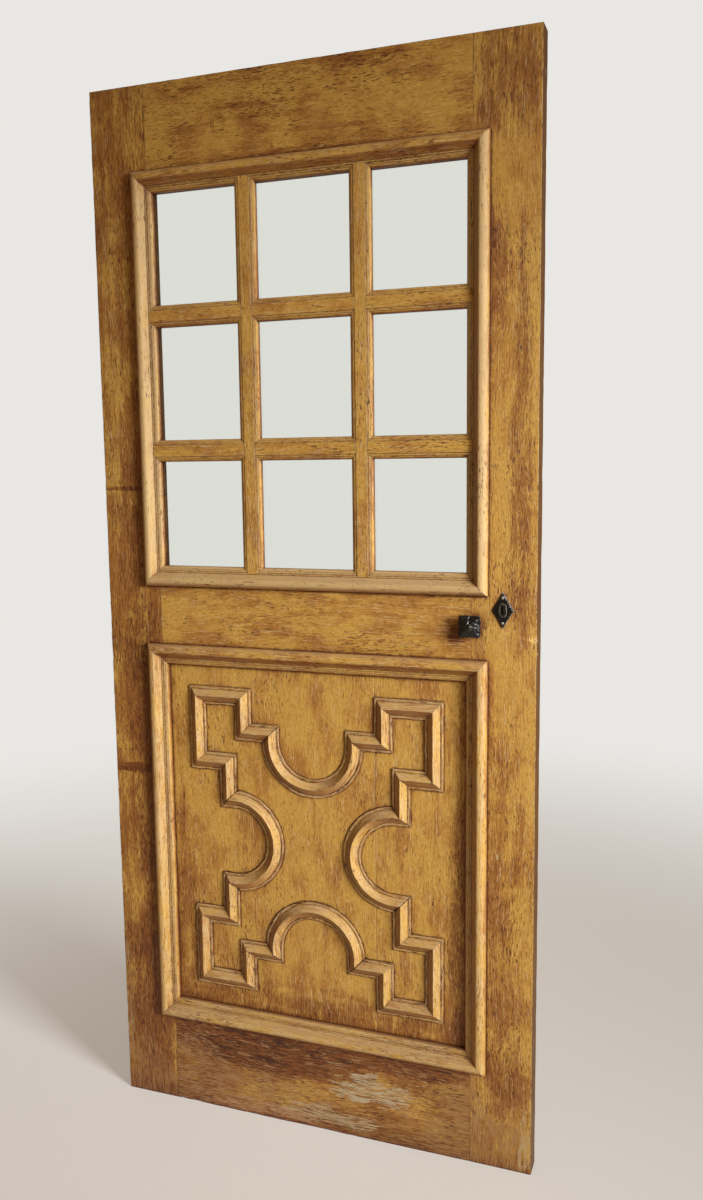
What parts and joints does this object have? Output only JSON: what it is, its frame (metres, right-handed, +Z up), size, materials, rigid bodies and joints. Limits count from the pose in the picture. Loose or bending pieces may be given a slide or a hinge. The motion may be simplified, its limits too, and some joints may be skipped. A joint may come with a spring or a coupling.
{
  "type": "glazed door leaf",
  "caption": "Panelled pine door leaf with a multi-pane glazed upper half, raised mitred mouldings, strapwork on the lower panel, a keyhole plate and an iron knob.",
  "frame": {"origin": "foot of the hinge edge, in the middle of the leaf's thickness", "axes": "+X from the hinge edge to the lock edge, +Y from the moulded front to the plain back, +Z up"},
  "size_m": [0.85, 0.0936, 2],
  "materials": {
    "pine": "aged, worn and waxed ochre pine",
    "glass": "clear window glass, slightly wavy",
    "iron": "black wrought iron, waxed"
  },
  "bodies": {
    "leaf": {"hinge_stile": "pine", "lock_stile": "pine", "top_rail": "pine", "lock_rail": "pine", "bottom_rail": "pine", "panel_board_left": "pine", "panel_board_right": "pine", "upper_moulding_bottom": "pine", "upper_moulding_right": "pine", "upper_moulding_top": "pine", "upper_moulding_left": "pine", "lower_moulding_bottom": "pine", "lower_moulding_right": "pine", "lower_moulding_top": "pine", "lower_moulding_left": "pine", "glazing_bar_left": "pine", "glazing_bar_right": "pine", "cross_bars_lower": "pine", "cross_bars_upper": "pine", "glazing_beads_upright": "pine", "glazing_beads_level": "pine", "strap_crosspieces_top_right": "pine", "strap_crosspieces_bottom_right": "pine", "strap_crosspieces_bottom_left": "pine", "strap_crosspieces_top_left": "pine", "strap_uprights_top_right": "pine", "strap_uprights_bottom_right": "pine", "strap_uprights_bottom_left": "pine", "strap_uprights_top_left": "pine", "strap_arcs_top_bottom": "pine", "strap_arcs_left_right": "pine", "glass_bottom_row": "glass", "glass_middle_row": "glass", "glass_top_row": "glass", "keyhole_plate": "iron", "rose_front": "iron", "rose_back": "iron"},
    "knob": {"knob_front": "iron", "knob_back": "iron", "knob_spindle": "iron"}
  },
  "joints": [
    {"name": "knob_turn", "type": "hinge", "parent": "leaf", "child": "knob", "pos_m": [0.735, 0, 1.0205], "axis": [0, 1, 0], "range_deg": [-60, 60]}
  ]
}
